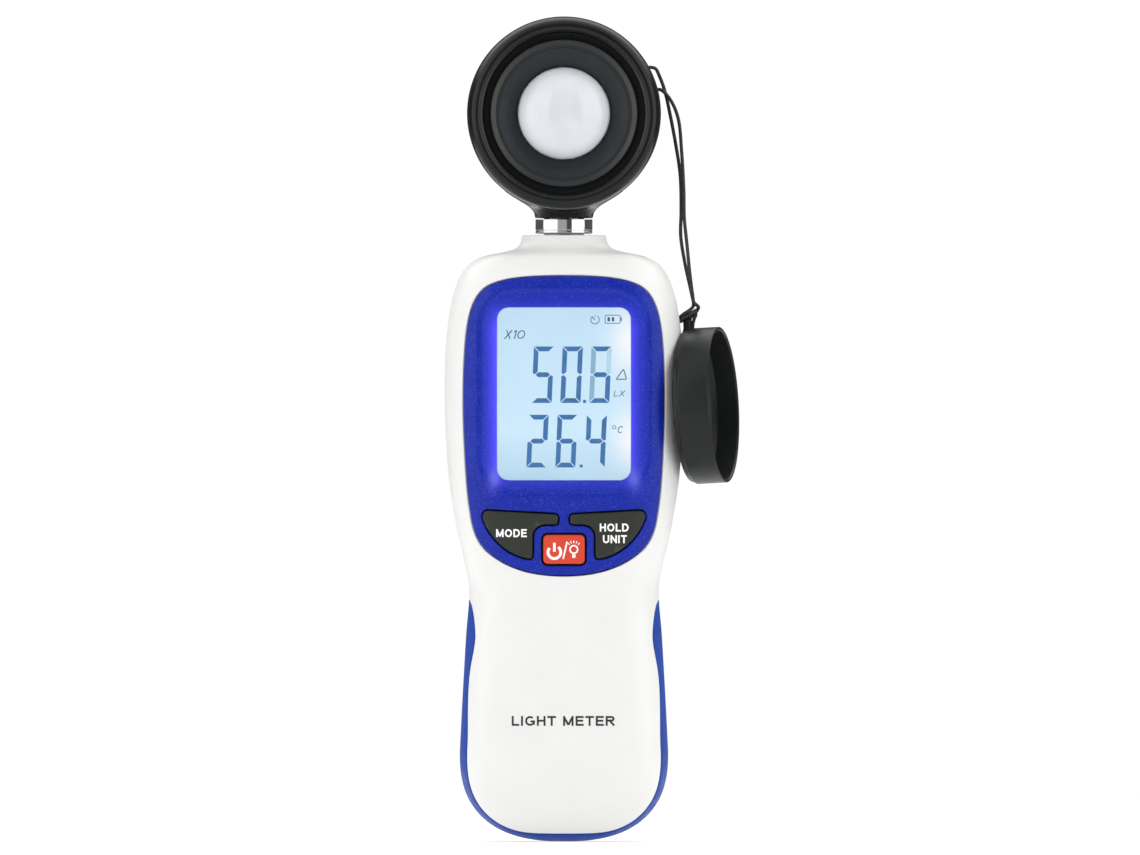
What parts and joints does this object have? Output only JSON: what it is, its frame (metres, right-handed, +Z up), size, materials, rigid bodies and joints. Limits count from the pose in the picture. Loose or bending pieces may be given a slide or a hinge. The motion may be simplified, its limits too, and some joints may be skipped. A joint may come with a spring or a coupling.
{
  "type": "handheld light meter",
  "caption": "Handheld light meter: bottle-shaped housing with lit display, keys, blue grip band, swivelling domed sensor head and a tethered cap.",
  "frame": {"origin": "middle of the hand grip, on the mid-plane of the housing, 35 mm above its lowest point", "axes": "+Z runs up along the meter to the sensor head, the display and sensor face -Y, +Y points out of the back, and +X is on the right of someone reading the display"},
  "size_m": [0.0667, 0.0353, 0.1845],
  "materials": {
    "white_abs": "white injection-moulded ABS with a fine matte grain",
    "blue_panel": "deep blue moulded panel with a fine satin speckle, tinted violet by the display light at its inner edge",
    "blue_grip": "soft blue thermoplastic rubber, matte",
    "key_olive": "dark olive-grey silicone keys, matte",
    "key_red": "red silicone key, matte",
    "clear_window": "clear acrylic display window",
    "lcd_glass": "pale blue back-lit liquid crystal panel",
    "white_inner": "white moulded light guide and frame",
    "head_black": "satin black ABS",
    "ring_black": "dark satin ring, slightly brown-grey",
    "dome_white": "opal white diffusing dome, semi-gloss",
    "filter_green": "green-tinted light filter",
    "cap_black": "soft matte black plastic cap",
    "cord_black": "thin black woven cord",
    "chrome": "bright chromed turned collar",
    "steel": "nickel-plated steel hardware",
    "pcb_green": "green solder-masked circuit board",
    "chip_black": "black moulded component",
    "cell_wrap": "plain dark grey printed cell sleeve",
    "cable_grey": "grey cable jacket"
  },
  "bodies": {
    "housing": {"front_shell": "white_abs", "rear_shell": "white_abs", "grip_band": "blue_grip", "display_bezel": "blue_panel", "lcd_window": "clear_window", "lcd_glass": "lcd_glass", "lcd_backlight": "white_inner", "lcd_holder": "white_inner", "main_pcb": "pcb_green", "mcu_chip": "chip_black", "thermistor": "chip_black", "mode_switch": "chip_black", "hold_switch": "chip_black", "power_switch": "chip_black", "pcb_screw_1": "steel", "pcb_screw_2": "steel", "housing_screw_1": "steel", "housing_screw_2": "steel", "housing_screw_3": "steel", "housing_screw_4": "steel", "cell_1": "cell_wrap", "cell_2": "cell_wrap", "cell_3": "cell_wrap", "cell_plate_1": "steel", "cell_plate_2": "steel", "cell_plate_3": "steel", "cell_spring_1": "steel", "cell_spring_2": "steel", "cell_spring_3": "steel", "spindle_washer": "steel", "sensor_cable_body": "cable_grey"},
    "head": {"head_front_shell": "head_black", "head_rear_shell": "head_black", "dome_ring": "ring_black", "sensor_dome": "dome_white", "light_filter": "filter_green", "photodiode": "chip_black", "sensor_pcb": "pcb_green", "sensor_cable_head": "cable_grey", "head_screw_1": "steel", "head_screw_2": "steel", "head_screw_3": "steel", "swivel_spindle": "chrome", "spindle_clip": "steel", "cap_cord_eye": "cord_black"},
    "mode_key": {"mode_key": "key_olive"},
    "hold_key": {"hold_key": "key_olive"},
    "power_key": {"power_key": "key_red"},
    "battery_door": {"battery_door": "white_abs"},
    "cap_line": {"cap_cord_strand_high": "cord_black", "cap_cord_strand_low": "cord_black"},
    "cap": {"sensor_cap": "cap_black", "cap_cord_knot": "cord_black"}
  },
  "joints": [
    {"name": "head_swivel", "type": "hinge", "parent": "housing", "child": "head", "pos_m": [0, 0, 0.1034], "axis": [0, 0, 1], "range_deg": [-135, 135]},
    {"name": "mode_press", "type": "slide", "parent": "housing", "child": "mode_key", "axis": [0, 1, 0], "range_m": [0, 0.0007], "stiffness_N_per_m": 400},
    {"name": "hold_press", "type": "slide", "parent": "housing", "child": "hold_key", "axis": [0, 1, 0], "range_m": [0, 0.0007], "stiffness_N_per_m": 400},
    {"name": "power_press", "type": "slide", "parent": "housing", "child": "power_key", "axis": [0, 1, 0], "range_m": [0, 0.0007], "stiffness_N_per_m": 400},
    {"name": "battery_door_tilt", "type": "hinge", "parent": "housing", "child": "battery_door", "pos_m": [0, 0.0141, -0.021], "axis": [-1, 0, 0], "range_deg": [0, 95]},
    {"name": "cord_swing", "type": "hinge", "parent": "head", "child": "cap_line", "pos_m": [0.019, 0.0024, 0.1391], "axis": [0, -1, 0], "range_deg": [0, 80]},
    {"name": "cap_swing", "type": "hinge", "parent": "cap_line", "child": "cap", "pos_m": [0.0291, -0.0004, 0.0855], "axis": [0, -1, 0], "range_deg": [0, 60]}
  ]
}
